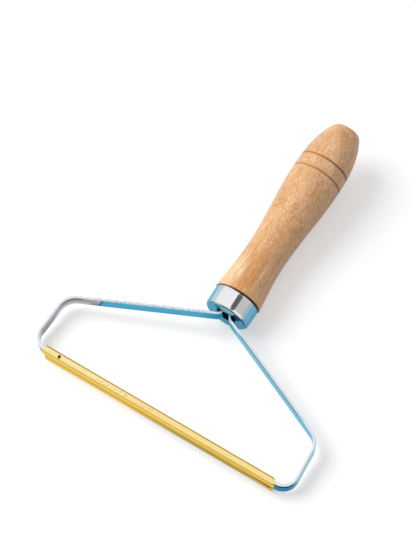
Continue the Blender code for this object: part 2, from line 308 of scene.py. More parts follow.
woodLook = {
    "light": (0.79, 0.49, 0.26),
    "middle": (0.67, 0.365, 0.16),
    "dark": (0.48, 0.225, 0.08),
    "rosy": (0.68, 0.39, 0.245),
    "honey": (0.66, 0.38, 0.11),
    "amber": (0.56, 0.215, 0.035),
    "cream": (0.90, 0.66, 0.42),
    "streak": (0.60, 0.28, 0.08),
    "burn": (0.19, 0.02, 0.0),
    "burnLight": (0.34, 0.10, 0.01),
    "fleck": (0.30, 0.15, 0.07),
    "pore": (0.40, 0.20, 0.09),
    "endGrain": (0.50, 0.31, 0.11),
    "inside": (0.03, 0.016, 0.01),
    "roughness": 0.46,
    "lacquer": 0.2,
    "lacquerRoughness": 0.3,
    "wander": ("fibres", 0.2, -0.1),       # what the roughness follows, its swing and its offset
    "relief": ("fibres", 0.0001, 0.35),    # what the relief follows, its distance and its strength
    "streakFrom": -0.0032,
    "streakLean": 0.06,        # to the right, for each step along the grip
    "pith": (-0.034, -0.05),
    "growthLines": 2900.0,     # radians per metre from the pith
    "growthSway": 0.012,
    "burnShares": (0.75, 1.0),  # of the front groove and the rear one
    "fringe": (0.0004, 0.0003, 0.0006),  # its least width, what the right adds, and what the noise adds
    # name: changes per metre across, along and up; detail, roughness and distortion
    "noises": {
        "patches": ((130, 60, 130), 3, 0.55, 0.6),
        "rosyPatches": ((190, 100, 190), 2, 0.5),
        "honeyPatches": ((240, 120, 240), 2, 0.5),
        "sway": ((55, 12, 55), 2),
        "fibres": ((1500, 120, 1500), 3, 0.6),
        "flecks": ((1900, 420, 1900), 1, 0.4),
        "pores": ((2200, 560, 2200), 2, 0.7),
        "longFibres": ((1000, 30, 1000), 3, 0.6),
        "scorch": ((420, 420, 420), 2),
    },
    "plank": ((0.30, "dark"), (0.5, "middle"), (0.70, "light")),
    # the tone, how much of it goes on, and its limits: a field, where it sets in and where it is full
    "grain": (
        ("rosy", 0.6, ("rosyPatches", 0.48, 0.66)),
        ("honey", 0.5, ("honeyPatches", 0.54, 0.68)),
        # an amber streak on the upper side near the cap, beside a cream band on the left side that is painted
        # highlight
        ("amber", 0.85, ("besideStreak", 0.0052, 0.0008), ("y", 0.114, 0.078)),
        ("cream", 0.75, ("offStreak", -0.0028, -0.0068), ("y", 0.091, 0.076)),
        # painted shade: the right flank is a little browner and darker
        ("dark", 0.3, ("x", 0.001, 0.012), ("y", 0.105, 0.125)),
        # growth lines, fine fibres, short dark flecks and pores
        ("streak", 0.22, ("growth", 0.1, 1.0)),
        ("dark", 0.34, ("fibres", 0.42, 0.7)),
        ("light", 0.35, ("fibres", 0.5, 0.3)),
        ("fleck", 0.5, ("flecks", 0.66, 0.76)),
        ("pore", 0.62, ("pores", 0.50, 0.68), "marks"),
        ("cream", 0.55, ("pores", 0.48, 0.32), "marks"),
        ("streak", 0.5, ("longFibres", 0.48, 0.66), "drawnOut"),
        ("cream", 0.4, ("longFibres", 0.48, 0.34), "drawnOut"),
        # the end face shows a little end grain
        ("endGrain", 0.35, ("y", tool["endFace"] - 0.0007, tool["endFace"] - 0.0002)),
    ),
    # dirt and old lacquer in the joint with the cap, with painted shade that makes it heavier on the right,
    # and painted shade on the spigot inside the cap
    "atCap": (
        ("burn", 1, ("y", handle["shoulder"] + 0.0006, handle["shoulder"] + 0.0002), "jointDirtAndShade"),
        ("inside", 1, ("y", 0.0635, 0.0630)),
    ),
}


def noseShape():
    # where the nose's ellipse starts, its reach, and the turn at which the rim takes over
    size = handle
    start = sum(size["grooves"]) / 2
    depth = size["shoulder"] + size["length"] - start
    reach = depth / math.sqrt(1 - (size["endRim"] / size["bellyRadius"]) ** 2)
    return start, reach, math.atan((size["bellyRadius"] / reach) ** 2 * depth / size["endRim"])


def gripRadius(station):
    size = handle
    waistAt = size["shoulder"] + size["waist"]
    bellyAt = size["shoulder"] + size["belly"]
    noseAt, reach = noseShape()[:2]
    if station < waistAt:
        fall = (station - size["shoulder"]) / size["waist"]
        taper = -size["shoulderTaper"] * size["waist"] * (fall**3 - 2 * fall**2 + fall)
        drop = size["shoulderRadius"] - size["waistRadius"]
        return size["waistRadius"] + drop * (2 * fall**3 - 3 * fall**2 + 1) + taper
    if station < bellyAt:
        rise = (station - waistAt) / (bellyAt - waistAt)
        return size["waistRadius"] + (size["bellyRadius"] - size["waistRadius"]) * rise**2 * (3 - 2 * rise)
    if station < noseAt:
        return size["bellyRadius"]
    return size["bellyRadius"] * math.sqrt(1 - ((station - noseAt) / reach) ** 2)


def gripRings(rimStart):
    size = handle
    start = size["shoulder"] + size["gripFrom"]
    count = round((rimStart - start) / size["ringStep"])
    stations = [start + (rimStart - start) * step / count for step in range(count)]
    clearance = size["grooveClearance"] * size["grooveWidth"]
    clear = [s for s in stations if all(abs(s - groove) > clearance for groove in size["grooves"])]
    rings = [(gripRadius(s), s) for s in clear]
    for groove in size["grooves"]:
        for across, down in size["grooveForm"]:
            station = groove + across * size["grooveWidth"]
            rings.append((gripRadius(station) - down * size["grooveDepth"], station))
    return sorted(rings, key=lambda ring: ring[1])


def makeWoodHandle():
    size = handle
    front, bore, spigot = size["spigotFront"], size["boreRadius"], size["spigotRadius"]
    lip, rim = size["shoulderRounding"], size["endRounding"]
    endAt = size["shoulder"] + size["length"]
    rimTurn = noseShape()[2]
    taper = size["shoulderTaper"]
    rings = [(bore, size["boreEnd"]), (bore, front + size["boreChamfer"])]
    rings += [(bore + size["boreChamfer"], front), (spigot - size["spigotChamfer"], front)]
    rings += [(spigot, front + size["spigotChamfer"]), (spigot, size["shoulder"])]
    lipAt = (size["shoulderRadius"] - taper * lip - lip * math.sqrt(1 + taper ** 2), size["shoulder"] + lip)
    rings += roundCorner(lipAt, lip, -90, math.degrees(math.atan(taper)), size["lipSteps"])
    rings += gripRings(endAt - rim * (1 - math.sin(rimTurn)))
    rimAt = (size["endRim"] - rim * (1 - math.sin(rimTurn)) / math.cos(rimTurn), endAt - rim)
    rings += roundCorner(rimAt, rim, math.degrees(rimTurn), 90, size["endSteps"])
    piece = turnOnLathe("woodHandle", rings, size["segments"])
    bpy.ops.mesh.inset(thickness=size["endInset"])
    outsideOut()
    return piece


def woodFinish():
    look = woodLook
    material, tree, shader, fields = newFinish("satin lacquered wood", 0.0, look)
    feed(tree, shader, {"Coat Weight": look["lacquer"], "Coat Roughness": look["lacquerRoughness"]})
    x, y, z = fields["x"], fields["y"], fields["z"]
    # a streak leans across the upper side near the cap
    alongStreak = calc(tree, "MULTIPLY_ADD", y, look["streakLean"], look["streakFrom"])
    fields["offStreak"] = calc(tree, "SUBTRACT", x, alongStreak)
    fields["besideStreak"] = calc(tree, "ABSOLUTE", fields["offStreak"])
    # growth lines, from a pith that lies beside the blank
    sway = calc(tree, "MULTIPLY", fields["sway"], look["growthSway"])
    fromPith = calc(tree, "ADD", distanceFrom(tree, x, z, look["pith"]), sway)
    fields["growth"] = calc(tree, "SINE", calc(tree, "MULTIPLY", fromPith, look["growthLines"]))
    # towards the cap the short marks give way to long streaks
    fields["drawnOut"] = between(tree, y, 0.106, 0.082)
    fields["marks"] = calc(tree, "MULTIPLY_ADD", fields["drawnOut"], -0.6, 1.0)
    color = colorRamp(tree, fields["patches"], [(at, look[tone]) for at, tone in look["plank"]])
    color = paintLayers(tree, fields, look, color, "grain")
    # burned lines in the grooves, with a scorched fringe; both are heavier on the right as painted shade
    shadedRight = between(tree, x, -0.006, 0.011)
    least, onRight, uneven = look["fringe"]
    fringe = calc(tree, "MULTIPLY_ADD", shadedRight, onRight, least)
    fringe = calc(tree, "MULTIPLY_ADD", fields["scorch"], uneven, fringe)
    burn = blendColor(tree, shadedRight, look["burnLight"], look["burn"])
    for groove, burnShare in zip(handle["grooves"], look["burnShares"]):
        away = calc(tree, "ABSOLUTE", calc(tree, "SUBTRACT", y, groove))
        near = calc(tree, "SUBTRACT", 1.0, calc(tree, "DIVIDE", away, fringe), clamp=True)
        color = blendColor(tree, calc(tree, "MULTIPLY", near, burnShare), color, burn)
    # the joint's dirt gets painted shade, heavier on the right
    fields["jointDirtAndShade"] = calc(tree, "MULTIPLY_ADD", shadedRight, 0.55, 0.35)
    color = paintLayers(tree, fields, look, color, "atCap")
    closeFinish(tree, shader, fields, look, color)
    return material


print("wood handle: turning the blank")
woodHandle = makeWoodHandle()
finishPiece(woodHandle, "handle", woodFinish(), 50)


# Chromed cap: drawn sheet with a rolled rim at the wood and a slot for the two tangs

cap = {
    "segments": 128,
    "front": tool["loopDepth"],
    "length": 0.0099,
    "frontRadius": 0.01138,
    "backRadius": 0.0116,
    "frontDisc": 0.004,        # the first ring, inside the flat front
    "edgeRadius": 0.0015,
    "edgeSteps": 10,
    "sideSteps": 8,
    "sheet": 0.0006,
    "rimWidth": 0.0007,
    "rimDrop": 0.00016,        # the rolled rim's fall, a quarter turn from its crown
    "rimFoot": 0.0002,         # its fall at the wood
    "creaseWidth": 0.0003,
    "creaseDepth": 0.00012,    # in front of the rim
    "slotWidth": 0.0098,
    "slotHeight": 0.0084,
    "slotRounding": 0.0006,
    "cutBevel": 0.00008,
    "cutAngle": 60,            # edges sharper than this are bevelled
}

capLook = {
    "top": (0.84, 0.835, 0.85),
    "leftShade": (0.44, 0.56, 0.62),
    "leftSide": (0.17, 0.42, 0.53),
    "rightSide": (0.14, 0.37, 0.53),
    "front": (0.075, 0.28, 0.42),
    "frontPale": (0.30, 0.50, 0.56),
    "besideSlot": (0.85, 0.85, 0.72),
    "joint": (0.06, 0.05, 0.045),
    "grazing": (0.6, 0.85, 0.95),
    "roughness": 0.07,
    "wander": ("haze", 0.1, -0.03),
    "relief": ("lines", 0.00002, 0.12),
    "jointWidth": 0.0003,
    "jointSpread": 0.0004,     # how much wider the painted shade makes it from the top round to the right
    "noises": {
        "haze": ((260, 260, 260), 3, 0.6),
        "lines": ((90, 5200, 90), 2, 0.5),
    },
    # painted reflections round the sides: the white top gives way to a reflected blue on the right, and on
    # the left to a paler, then deeper, reflected blue
    "sides": (
        ("rightSide", 1, ("around", 0.70, 1.02)),
        ("leftShade", 1, ("around", -0.50, -0.72)),
        ("leftSide", 1, ("around", -0.80, -0.98)),
    ),
    # painted reflections on the front face: blue, paler high up, and pale beside the slot on the right
    "frontTones": (
        ("frontPale", 1, ("z", 0.0050, 0.0078)),
        ("besideSlot", 1, ("x", 0.0044, 0.0052), ("z", 0.0030, 0.0050)),
    ),
    # the joint, dark partly as polish residue and partly as painted shade, and a painted dark reflection, a
    # crescent inside the front edge on the right
    "darkPlaces": (
        ("joint", 1, ("pastJoint", 0.0, 0.0002)),
        ("joint", 1, ("fromAxis", 0.0093, 0.0097), ("fromAxis", 0.0107, 0.0104), ("around", -0.45, -0.1),
         ("around", 1.75, 1.25), "onFront"),
    ),
}


def makeChromeCap():
    size = cap
    back = size["front"] + size["length"]
    edge = size["edgeRadius"]
    rings = [(size["frontDisc"], size["front"])]
    rings += roundCorner((size["frontRadius"] - edge, size["front"] + edge), edge, -90, 0, size["edgeSteps"])
    straight = back - size["rimWidth"] - size["creaseWidth"]

    def radiusAt(station):
        share = (station - size["front"]) / size["length"]
        return size["frontRadius"] + (size["backRadius"] - size["frontRadius"]) * share

    # the drawn side widens evenly towards the rim
    for step in range(1, size["sideSteps"] + 1):
        station = size["front"] + edge + (straight - size["front"] - edge) * step / size["sideSteps"]
        rings.append((radiusAt(station), station))
    crease = straight + size["creaseWidth"] / 2
    rings.append((radiusAt(crease) - size["creaseDepth"], crease))
    rimMiddle = back - size["rimWidth"] / 2
    for degrees in range(150, 29, -20):
        turn = math.radians(degrees)
        station = rimMiddle + size["rimWidth"] / 2 * math.cos(turn)
        rings.append((size["backRadius"] - size["rimDrop"] * (1 - math.sin(turn)), station))
    rings.append((size["backRadius"] - size["rimFoot"], back))
    piece = turnOnLathe("chromeCap", rings, size["segments"])
    bpy.ops.mesh.delete(type="ONLY_FACE")  # the open back, where the wood goes in
    outsideOut()
    useModifier(piece, "SOLIDIFY", thickness=size["sheet"], offset=-1, use_even_offset=True)
    # the slot, cut with a block whose four corners are rounded
    clearSelection()
    bpy.ops.mesh.primitive_cube_add(size=1, location=(0, size["front"], 0))
    cutter = startPiece("slotBlock")
    bpy.ops.transform.resize(value=(size["slotWidth"], 4 * size["sheet"], size["slotHeight"]),
                             center_override=(0, size["front"], 0))
    wide, high = 0.45 * size["slotWidth"], 0.45 * size["slotHeight"]  # only the corners lie beyond
    pick(cutter, "EDGE", lambda p: abs(p.x) > wide and abs(p.z) > high)
    bpy.ops.mesh.bevel(offset=size["slotRounding"], segments=4, affect="EDGES")
    cutOut(piece, cutter, size)
    return piece


def chromeFinish():
    look = capLook
    material, tree, shader, fields = newFinish("bright chrome with painted blue reflections", 1.0, look)
    # the blue grazing tint is painted reflection too
    feed(tree, shader, {"Specular Tint": (*look["grazing"], 1)})
    fields["around"] = calc(tree, "ARCTAN2", fields["x"], fields["z"])  # 0 on top, positive on the right
    fields["fromAxis"] = distanceFrom(tree, fields["x"], fields["z"])
    fields["onFront"] = between(tree, fields["y"], cap["front"] + 0.0007, cap["front"] + 0.0002)
    # the joint with the wood is dark with polish residue and painted shade, and the painted shade widens it
    # towards the right
    shadedRight = between(tree, fields["around"], -0.55, 0.25)
    back = cap["front"] + cap["length"]
    jointFrom = calc(tree, "MULTIPLY_ADD", shadedRight, -look["jointSpread"], back - look["jointWidth"])
    fields["pastJoint"] = calc(tree, "SUBTRACT", fields["y"], jointFrom)
    color = paintLayers(tree, fields, look, look["top"], "sides")
    front = paintLayers(tree, fields, look, look["front"], "frontTones")
    color = blendColor(tree, fields["onFront"], color, front)
    color = paintLayers(tree, fields, look, color, "darkPlaces")
    closeFinish(tree, shader, fields, look, color)
    return material


print("chromed cap: drawing the cup and cutting its slot")
chromeCap = makeChromeCap()
finishPiece(chromeCap, "ferrule", chromeFinish(), 32)


# Steel loop: flat strip, bent from one tang round the head's line to the other tang

stakeHole = {
    "place": (-0.0545, -0.0001),   # in the head's upper fold, near its left end
    "radius": 0.00072,
    "punchedFrom": (0.30, -0.34, 0.89),
}

loop = {
    "edgeRounding": 0.00036,
    "roundingSteps": 4,
    "lowerBend": 0.0072,
    "upperBend": 0.009,
    "throatBend": 0.004,
    "lowerCorner": (0.070224, 0.0),
    "upperCorner": (0.068828, 0.02755),
    "throat": (0.002, 0.05795),
    "tangEnd": (0.002, 0.093),
    "bendSteps": 14,
}

greyReflectionEnd = -0.0539              # the strip's painted grey reflection ends here on the left arm

steelLook = {
    "face": (0.095, 0.42, 0.62),
    "deep": (0.028, 0.235, 0.375),
    "slantLine": (0.012, 0.07, 0.12),
    "rightArm": (0.19, 0.49, 0.67),
    "rightSide": (0.33, 0.56, 0.68),
    "bare": (0.38, 0.37, 0.395),
    "greyReflectionCloud": (0.46, 0.45, 0.48),
    "greyReflectionLow": (0.235, 0.232, 0.25),
    "edge": (0.80, 0.83, 0.86),
    "farEdge": (0.52, 0.68, 0.77),
    "armLine": (0.12, 0.18, 0.22),
    "edgeSpeck": (0.56, 0.57, 0.61),
    "paintedShade": (0.012, 0.01, 0.008),
    "grazing": (0.5, 0.8, 0.9),
    "greyGrazing": (0.85, 0.84, 0.9),
    "roughness": 0.16,
    "wander": ("cloud", 0.14, -0.06),
    "relief": ("brushed", 0.00002, 0.15),
    "slantLean": -0.32,        # of the painted grey reflection's end
    "edgeFrom": 0.0029,        # the silvery edge starts here, from the strip's middle line
    "edgeUneven": 0.0008,
    "edgeOnRight": 0.00035,    # it starts further out on the right side
    "edgeLast": 0.0036,        # and nowhere beyond this
    "noises": {
        "cloud": ((160, 160, 420), 3, 0.6),
        "edgeNoise": ((600, 600, 900), 3, 0.6),
        "specks": ((1500, 1500, 1500), 2, 0.6),
        "brushed": ((40, 40, 5200), 3, 0.6),
    },
    "onArm": (("x", 0.008, 0.014), ("y", 0.030, 0.034)),
    "bendLine": (("y", 0.0060, 0.0030), ("x", 0.0610, 0.0630), ("z", 0.0017, 0.0024)),
    # painted reflections: the reflected blue drifts along the loop and deepens towards the lower edge, and a
    # dark line runs where the painted grey reflection ends
    "paintedReflections": (
        ("deep", 1, ("x", -0.012, 0.0)),
        ("rightArm", 1, ("x", 0.001, 0.011)),
        ("rightSide", 1, ("x", 0.0655, 0.069)),
        ("deep", 1, ("x", 0.055, 0.062), ("y", 0.008, 0.002)),
        ("deep", 0.55, ("z", -0.0016, -0.0032)),
        ("slantLine", 0.85, ("slant", greyReflectionEnd + 0.0011, greyReflectionEnd + 0.0003)),
    ),
    # the painted grey reflection is cloudy and darker towards the lower edge
    "onGreyReflection": (
        ("greyReflectionCloud", 1, ("cloud", 0.35, 0.7)),
        ("greyReflectionLow", 1, ("z", 0.0016, -0.0030, False)),  # at an even rate, not eased in and out
    ),
    # painted reflection in the bends: the upper left bend is paler below, with a painted dark line under its
    # upper edge; the lower left bend gets a painted highlight, and a dark line follows the lower right bend
    "inBends": (
        ("edge", 0.7, ("z", 0.0004, -0.0016), ("x", -0.0560, -0.0610), ("y", 0.0150, 0.0195)),
        ("paintedShade", 0.75, ("z", 0.0014, 0.0024), ("y", 0.0200, 0.0235), ("x", -0.0595, -0.0632)),
        ("edge", 0.5, ("y", 0.0085, 0.0055), ("x", -0.0640, -0.0660)),
        ("slantLine", 0.9, "bendLine"),
    ),
    "onTint": (("slantLine", 0.8, "bendLine"),),
    # on the edge band: specks on the left, and a painted light blue reflection along the right arm's far edge
    "onEdge": (
        ("edgeSpeck", 1, ("x", -0.060, -0.050), ("x", -0.004, -0.012), ("specks", 0.46, 0.62)),
        ("farEdge", 1, ("acrossArm", 0.0001, 0.0003), "onArm"),
    ),
    # painted reflection and shade: a dark line under the right arm's edge, painted shade on the strip inside
    # the fold and on the strip under the hole in it
    "darkPlaces": (
        ("armLine", 0.8, ("z", 0.0020, 0.0029), ("acrossArm", -0.0002, -0.00032), "onArm"),
        ("paintedShade", 1, ("x", 0.0606, 0.0596), ("y", 0.002, 0.001), "shadeInFold", ("z", 0.0030, 0.0026)),
        ("paintedShade", 1, "atHole", ("z", 0.0034, 0.0036), "unlit"),
    ),
}


def bendStrip(corners, radii, size):
    # straight pulls and spins, from the first corner to the last
    station = Vector((*corners[0], 0))
    for index, radius in enumerate(radii):
        corner = Vector((*corners[index + 1], 0))
        heading = (corner - Vector((*corners[index], 0))).normalized()
        leaving = (Vector((*corners[index + 2], 0)) - corner).normalized()
        turn = heading.angle(leaving)
        side = 1 if heading.cross(leaving).z > 0 else -1
        bendStart = corner - heading * radius * math.tan(turn / 2)
        bpy.ops.mesh.extrude_region_move(TRANSFORM_OT_translate={"value": bendStart - station})
        across = Vector((-heading.y, heading.x, 0)) * side
        bpy.ops.mesh.spin(steps=size["bendSteps"], angle=turn, center=bendStart + across * radius,
                          axis=(0, 0, -side))
        station = corner + leaving * radius * math.tan(turn / 2)
    bpy.ops.mesh.extrude_region_move(TRANSFORM_OT_translate={"value": Vector((*corners[-1], 0)) - station})


def makeSteelLoop():
    size = loop
    right = [size["tangEnd"], size["throat"], size["upperCorner"], size["lowerCorner"]]
    left = [(-x, y) for x, y in reversed(right)]
    radii = [size["throatBend"], size["upperBend"], size["lowerBend"]]
    start = (*size["tangEnd"], 0)
    clearSelection()
    bpy.ops.mesh.primitive_plane_add(size=1, location=start, rotation=(math.pi / 2, 0, 0))
    piece = startPiece("steelLoop")
    bpy.ops.transform.resize(value=(tool["stripThickness"], 1, tool["stripWidth"]), center_override=start)
    bpy.ops.mesh.bevel(offset=size["edgeRounding"], segments=size["roundingSteps"], affect="VERTICES")
    bpy.ops.mesh.select_mode(type="FACE")
    bpy.ops.mesh.select_all(action="SELECT")
    bendStrip(right + left, radii + radii[::-1], size)
    outsideOut()
    return piece


def besideHole(tree, fields, far, near, shift=(0, 0)):
    # 1 within near of the middle of the head's stake hole, 0 beyond far
    middle = [place + moved for place, moved in zip(stakeHole["place"], shift)]
    return between(tree, distanceFrom(tree, fields["x"], fields["y"], middle), far, near)


def steelFinish():
    look = steelLook
    material, tree, shader, fields = newFinish("bright steel with painted blue reflections", 1.0, look)
    x, y, z = fields["x"], fields["y"], fields["z"]
    # the painted grey reflection on the left ends on a slant
    fields["slant"] = calc(tree, "MULTIPLY_ADD", z, look["slantLean"], x)
    greyReflectionShare = between(tree, fields["slant"], greyReflectionEnd, greyReflectionEnd - 0.0005)
    # how far a point lies from the right arm's middle line, towards the handle
    (fromX, fromY), (toX, toY) = loop["throat"], loop["upperCorner"]
    reach = math.hypot(toX - fromX, toY - fromY)
    acrossArm = calc(tree, "MULTIPLY_ADD", x, (fromY - toY) / reach, (toY * fromX - fromY * toX) / reach)
    fields["acrossArm"] = calc(tree, "MULTIPLY_ADD", y, (toX - fromX) / reach, acrossArm)
    fields["onArm"] = overlap(tree, fields, look["onArm"])
    fields["bendLine"] = overlap(tree, fields, look["bendLine"])
    # painted shade: the strip is dark in the fold and less so left of the head, and under the hole, where a
    # painted highlight spot shows
    fields["shadeInFold"] = calc(tree, "MULTIPLY_ADD", between(tree, x, -0.0622, -0.0612), 0.6, 0.4)
    fields["atHole"] = besideHole(tree, fields, 0.0009, 0.0008)
    litSpot = besideHole(tree, fields, 0.0005, 0.00038, (0.0002, -0.0002))
    fields["unlit"] = calc(tree, "SUBTRACT", 1.0, litSpot)
    color = paintLayers(tree, fields, look, look["face"], "paintedReflections")
    greyReflectionTone = paintLayers(tree, fields, look, look["bare"], "onGreyReflection")
    color = blendColor(tree, greyReflectionShare, color, greyReflectionTone)
    color = paintLayers(tree, fields, look, color, "inBends")
    # the grazing tint is painted reflection too: blue, and grey over the painted grey reflection
    tint = blendColor(tree, greyReflectionShare, look["grazing"], look["greyGrazing"])
    tint = paintLayers(tree, fields, look, tint, "onTint")
    feed(tree, shader, {"Specular Tint": tint})
    # painted reflection: silvery bands along both edges; on the right side the rounded edge keeps the
    # reflected blue
    edgeFrom = calc(tree, "MULTIPLY_ADD", fields["edgeNoise"], look["edgeUneven"], look["edgeFrom"])
    rightEdge = calc(tree, "MULTIPLY", between(tree, x, 0.050, 0.056), look["edgeOnRight"])
    edgeFrom = calc(tree, "MINIMUM", calc(tree, "ADD", edgeFrom, rightEdge), look["edgeLast"])
    edgeShare = between(tree, calc(tree, "SUBTRACT", calc(tree, "ABSOLUTE", z), edgeFrom), 0.0, 0.00012)
    edgeTone = paintLayers(tree, fields, look, look["edge"], "onEdge")
    color = blendColor(tree, edgeShare, color, edgeTone)
    color = paintLayers(tree, fields, look, color, "darkPlaces")
    closeFinish(tree, shader, fields, look, color)
    return material


print("steel loop: bending the strip")
steelLoop = makeSteelLoop()
finishPiece(steelLoop, "frame_strip", steelFinish(), 32)


# Brass head: one sheet folded over both edges of the strip, its lips meeting in a seam along the front

head = {
    "length": 0.1262,
    "sheet": 0.001,
    "foldRadius": 0.0013,
    "foldSteps": 9,
    "lipSteps": 9,
    "backSteps": 4,
    "seamAt": 0.0005,
    "seamGap": 0.00022,
    "noseLength": {-1: 0.0008, 1: 0.0024},  # how far the back is cut away at the left and right ends
    "noseCurve": 2.4,
    "upperLipRounding": 0.002,
    "lowerLipSetback": 0.0011,
    "lowerLipRounding": 0.0026,
    "lowerLipRoundingHeight": 0.0019,
    "lowerFoldRounding": 0.0028,
    "lowerFoldRoundingHeight": 0.0024,
    "columns": 100,
    "wedgeLength": 0.018,      # the seam gapes over this length at the right end
    "wedgeColumns": 9,
    "wedgeCurve": 1.4,
    "wedgeGap": 0.0009,
    "wedgeShare": {1: 0.3, -1: 0.7},     # of the gap, made by the upper and by the lower lip
    "wedgeSpring": {1: 0, -1: 0.00036},  # how far each of them comes forward
    "near": 0.00004,           # a vertex this close to a row's height is in that row
    "cutBevel": 0.00009,
    "cutAngle": 55,
}
headHalfThickness = tool["stripThickness"] / 2 + tool["sheetGap"] + head["sheet"] - tool["shy"]
headHalfHeight = tool["stripWidth"] / 2 + tool["sheetGap"] + head["sheet"] - tool["shy"]

brassLook = {
    "crown": (0.95, 0.76, 0.30),
    "crownPale": (0.98, 0.83, 0.39),
    "crownLeft": (0.98, 0.88, 0.50),
    "back": (0.86, 0.60, 0.19),
    "backEdge": (0.40, 0.15, 0.0),
    "crease": (0.71, 0.45, 0.09),
    "lip": (0.90, 0.66, 0.24),
    "lowerLip": (0.76, 0.44, 0.09),
    "lowerLipLeft": (0.90, 0.57, 0.12),
    "lowerShade": (0.38, 0.175, 0.045),
    "line": (0.46, 0.25, 0.04),
    "frontLine": (0.66, 0.34, 0.04),
    "seam": (0.34, 0.12, 0.01),
    "underFoldShade": (0.15, 0.19, 0.13),
    "recessShade": (0.08, 0.045, 0.015),
    "grazing": (0.92, 0.88, 0.45),
    "roughness": 0.2,
    "wander": ("streaks", 0.22, -0.1),
    "relief": ("streaks", 0.00003, 0.2),
    "dirtReach": 0.0004,       # from the seam's middle
    "dirtUneven": 0.0009,
    "noises": {
        "streaks": ((14, 2600, 2600), 3, 0.65),
        "coarse": ((7, 1600, 430), 2, 0.55),
        "pits": ((850, 1700, 1700), 1, 0.5),
    },
    # painted reflections on the top and back: the crown is paler on the left, and the back is darker, with a
    # dark line along its upper edge
    "crownAndBack": (
        ("crownPale", 1, ("streaks", 0.35, 0.7)),
        ("crownLeft", 0.7, ("x", -0.005, -0.030)),
        ("lip", 0.4, ("coarse", 0.48, 0.64)),
        # small pits along the left half of the top
        ("line", 0.8, ("x", -0.046, -0.038), ("x", 0.004, -0.006), ("pits", 0.63, 0.68),
         ("y", 0.0005, 0.0001)),
        ("back", 1, ("y", 0.0006, 0.0010)),
        ("backEdge", 0.9, ("y", 0.0011, 0.0014), ("z", 0.0030, 0.0036)),
    ),
    # painted reflection: the upper lip is darker high up, by the fold
    "onUpperLip": (
        ("lip", 1, ("z", 0.0045, 0.0041)),
        ("frontLine", 0.55, ("coarse", 0.46, 0.60)),
    ),
    # painted reflection and shade: the lower lip is darker and more orange than the upper one, paler on the
    # left, and darker in the middle and right
    "onLowerLip": (
        ("lowerLipLeft", 1, ("x", 0.0, -0.03)),
        ("frontLine", 0.55, ("coarse", 0.46, 0.60)),
        ("lowerShade", 1, ("x", -0.004, 0.016), ("x", 0.056, 0.046), "shadeUp"),
    ),
    "dirtAndShade": (
        ("seam", 1, "seamDirt", "front"),
        # painted shade: dark teal along the lower edge of the front
        ("underFoldShade", 0.9, ("z", -0.0028, -0.0036), ("x", -0.020, 0.005), ("y", 0.0, -0.0006)),
        ("line", 0.3, ("streaks", 0.54, 0.68)),
        # painted shade on the cut edges and inner faces along the seam where it gapes at the right end, then
        # on the wall of the punched hole
        ("recessShade", 1, ("y", -0.00191, -0.00184), ("y", -0.0008, -0.0009), ("offSeam", 0.0022, 0.0018),
         ("x", 0.062, 0.0605)),
        ("recessShade", 1, "atHole"),
    ),
}


def headSection():
    # (y, z) of the sheet's outside, from the upper lip over both folds to the lower lip
    y = headHalfThickness
    z = headHalfHeight
    r = head["foldRadius"]
    flat = z - r
    upperLip = head["seamAt"] + head["seamGap"] / 2
    lowerLip = head["seamAt"] - head["seamGap"] / 2
    lowStart = head["lowerFoldRoundingHeight"] - z
    section = [(-y, upperLip + (flat - upperLip) * step / head["lipSteps"])
               for step in range(head["lipSteps"])]
    section += roundCorner((r - y, flat), r, 180, 90, head["foldSteps"])
    section += roundCorner((y - r, flat), r, 90, 0, head["foldSteps"])
    section += [(y, flat - 2 * flat * step / head["backSteps"]) for step in range(1, head["backSteps"])]
    section += [(y, lowStart)]
    section += roundCorner((y - r, -flat), r, 0, -90, head["foldSteps"])
    section += roundCorner((r - y, -flat), r, -90, -180, head["foldSteps"])
    section += [(-y, -flat + (lowStart + flat) / 2)]
    section += [(-y, lowStart + (lowerLip - lowStart) * step / head["lipSteps"])
                for step in range(head["lipSteps"] + 1)]
    return section


def endTrim(y, z, side):
    # how far the row of the sheet at this place of the section stops short of the full length
    size = head
    trim = size["noseLength"][side] * ((y + headHalfThickness) / (2 * headHalfThickness)) ** size["noseCurve"]
    below = max(0, size["lowerFoldRoundingHeight"] - headHalfHeight - z) / size["lowerFoldRoundingHeight"]
    trim = max(trim, size["lowerFoldRounding"] * (1 - math.sqrt(1 - min(1, below) ** 2)))
    if z < size["seamAt"]:
        up = max(0, z - size["seamAt"] + size["lowerLipRoundingHeight"]) / size["lowerLipRoundingHeight"]
        lipTrim = size["lowerLipSetback"] + size["lowerLipRounding"] * (1 - math.sqrt(1 - min(1, up) ** 2))
        trim = max(trim, lipTrim * max(0, -y) / headHalfThickness)
    elif math.isclose(y, -headHalfThickness):
        lipTop = headHalfHeight - size["foldRadius"]
        trim += size["upperLipRounding"] * ((lipTop - z) / (lipTop - size["seamAt"])) ** 2
    return trim


def fitRow(oldEnds, y, z):
    # stretches the selected row about the middle and slides it, so that its ends come where they should
    newEnds = [side * (head["length"] / 2 - endTrim(y, z, side)) for side in (-1, 1)]
    grow = (newEnds[1] - newEnds[0]) / (oldEnds[1] - oldEnds[0])
    bpy.ops.transform.resize(value=(grow, 1, 1), center_override=(0, y, z))
    bpy.ops.transform.translate(value=(newEnds[1] - grow * oldEnds[1], 0, 0))
    return newEnds


